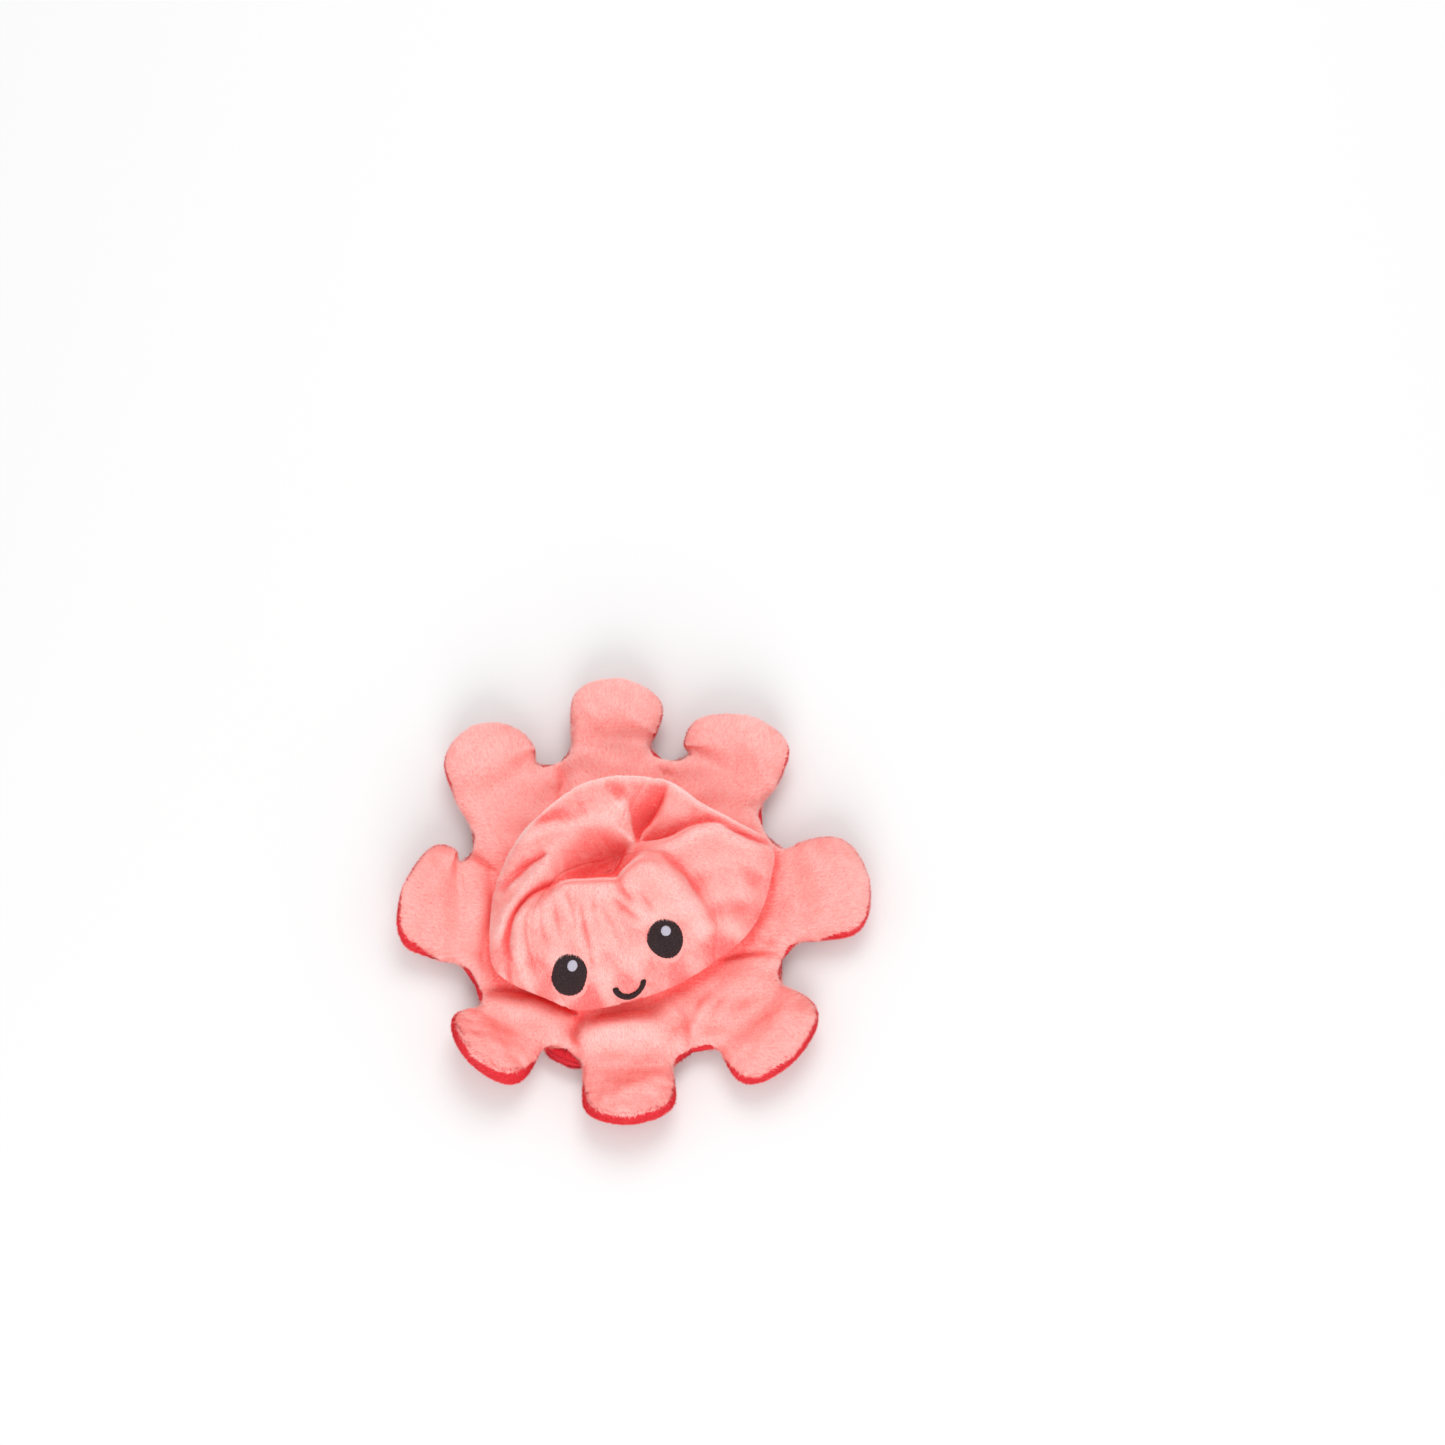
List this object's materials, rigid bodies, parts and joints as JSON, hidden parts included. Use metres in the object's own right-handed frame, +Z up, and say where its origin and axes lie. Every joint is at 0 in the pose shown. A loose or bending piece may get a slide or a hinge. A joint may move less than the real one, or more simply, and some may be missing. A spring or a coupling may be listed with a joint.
{
  "type": "reversible octopus soft toy",
  "caption": "Stuffed plush octopus that turns inside out, lying coral side out with a slumped head, a stitched smiling face and short rounded arms over a crimson underside.",
  "frame": {"origin": "centre of the footprint's bounding box, on the surface that the toy lies on", "axes": "+Z up, the face looks towards -Y, +X is on the right for someone who looks at the face"},
  "size_m": [0.1922, 0.1889, 0.0544],
  "materials": {
    "coral_plush": "short coral plush pile",
    "crimson_plush": "short crimson plush pile",
    "fibre_filling": "white polyester fibre filling",
    "black_thread": "black satin-stitched embroidery",
    "white_thread": "white satin-stitched embroidery"
  },
  "bodies": {
    "head_and_skirt": {"head_front_gore": "coral_plush", "head_front_right_gore": "coral_plush", "head_back_right_gore": "coral_plush", "head_back_gore": "coral_plush", "head_back_left_gore": "coral_plush", "head_front_left_gore": "coral_plush", "crown_front_gore": "crimson_plush", "crown_front_right_gore": "crimson_plush", "crown_back_right_gore": "crimson_plush", "crown_back_gore": "crimson_plush", "crown_back_left_gore": "crimson_plush", "crown_front_left_gore": "crimson_plush", "coral_skirt": "coral_plush", "crimson_skirt": "crimson_plush", "body_filling": "fibre_filling", "face_left_eye": "black_thread", "face_left_eye_glint": "white_thread", "face_right_eye": "black_thread", "face_right_eye_glint": "white_thread", "face_smile": "black_thread", "hidden_face_left_eye": "black_thread", "hidden_face_left_eye_glint": "white_thread", "hidden_face_right_eye": "black_thread", "hidden_face_right_eye_glint": "white_thread", "hidden_face_frown": "black_thread"},
    "arm_1": {"arm_1_coral_cover": "coral_plush", "arm_1_crimson_cover": "crimson_plush", "arm_1_filling": "fibre_filling"},
    "arm_2": {"arm_2_coral_cover": "coral_plush", "arm_2_crimson_cover": "crimson_plush", "arm_2_filling": "fibre_filling"},
    "arm_3": {"arm_3_coral_cover": "coral_plush", "arm_3_crimson_cover": "crimson_plush", "arm_3_filling": "fibre_filling"},
    "arm_4": {"arm_4_coral_cover": "coral_plush", "arm_4_crimson_cover": "crimson_plush", "arm_4_filling": "fibre_filling"},
    "arm_5": {"arm_5_coral_cover": "coral_plush", "arm_5_crimson_cover": "crimson_plush", "arm_5_filling": "fibre_filling"},
    "arm_6": {"arm_6_coral_cover": "coral_plush", "arm_6_crimson_cover": "crimson_plush", "arm_6_filling": "fibre_filling"},
    "arm_7": {"arm_7_coral_cover": "coral_plush", "arm_7_crimson_cover": "crimson_plush", "arm_7_filling": "fibre_filling"},
    "arm_8": {"arm_8_coral_cover": "coral_plush", "arm_8_crimson_cover": "crimson_plush", "arm_8_filling": "fibre_filling"}
  },
  "joints": [
    {"name": "arm_1_bend", "type": "hinge", "parent": "head_and_skirt", "child": "arm_1", "pos_m": [-0.03437, 0.05677, 0.008], "axis": [0.8746, 0.4848, 0], "range_deg": [-50, 60], "stiffness_Nm_per_rad": 0.03},
    {"name": "arm_2_bend", "type": "hinge", "parent": "head_and_skirt", "child": "arm_2", "pos_m": [0.01447, 0.06342, 0.008], "axis": [0.9724, -0.2334, 0], "range_deg": [-50, 60], "stiffness_Nm_per_rad": 0.03},
    {"name": "arm_3_bend", "type": "hinge", "parent": "head_and_skirt", "child": "arm_3", "pos_m": [0.05689, 0.03232, 0.008], "axis": [0.515, -0.8572, 0], "range_deg": [-50, 60], "stiffness_Nm_per_rad": 0.03},
    {"name": "arm_4_bend", "type": "hinge", "parent": "head_and_skirt", "child": "arm_4", "pos_m": [0.06327, -0.02371, 0.008], "axis": [-0.309, -0.9511, 0], "range_deg": [-50, 55], "stiffness_Nm_per_rad": 0.03},
    {"name": "arm_5_bend", "type": "hinge", "parent": "head_and_skirt", "child": "arm_5", "pos_m": [0.02734, -0.06433, 0.008], "axis": [-0.9063, -0.4226, 0], "range_deg": [-50, 60], "stiffness_Nm_per_rad": 0.03},
    {"name": "arm_6_bend", "type": "hinge", "parent": "head_and_skirt", "child": "arm_6", "pos_m": [-0.02577, -0.06618, 0.008], "axis": [-0.9336, 0.3584, 0], "range_deg": [-50, 60], "stiffness_Nm_per_rad": 0.03},
    {"name": "arm_7_bend", "type": "hinge", "parent": "head_and_skirt", "child": "arm_7", "pos_m": [-0.06172, -0.0341, 0.008], "axis": [-0.4617, 0.887, 0], "range_deg": [-50, 55], "stiffness_Nm_per_rad": 0.03},
    {"name": "arm_8_bend", "type": "hinge", "parent": "head_and_skirt", "child": "arm_8", "pos_m": [-0.0666, 0.01661, 0.008], "axis": [0.284, 0.9588, 0], "range_deg": [-50, 55], "stiffness_Nm_per_rad": 0.03}
  ]
}
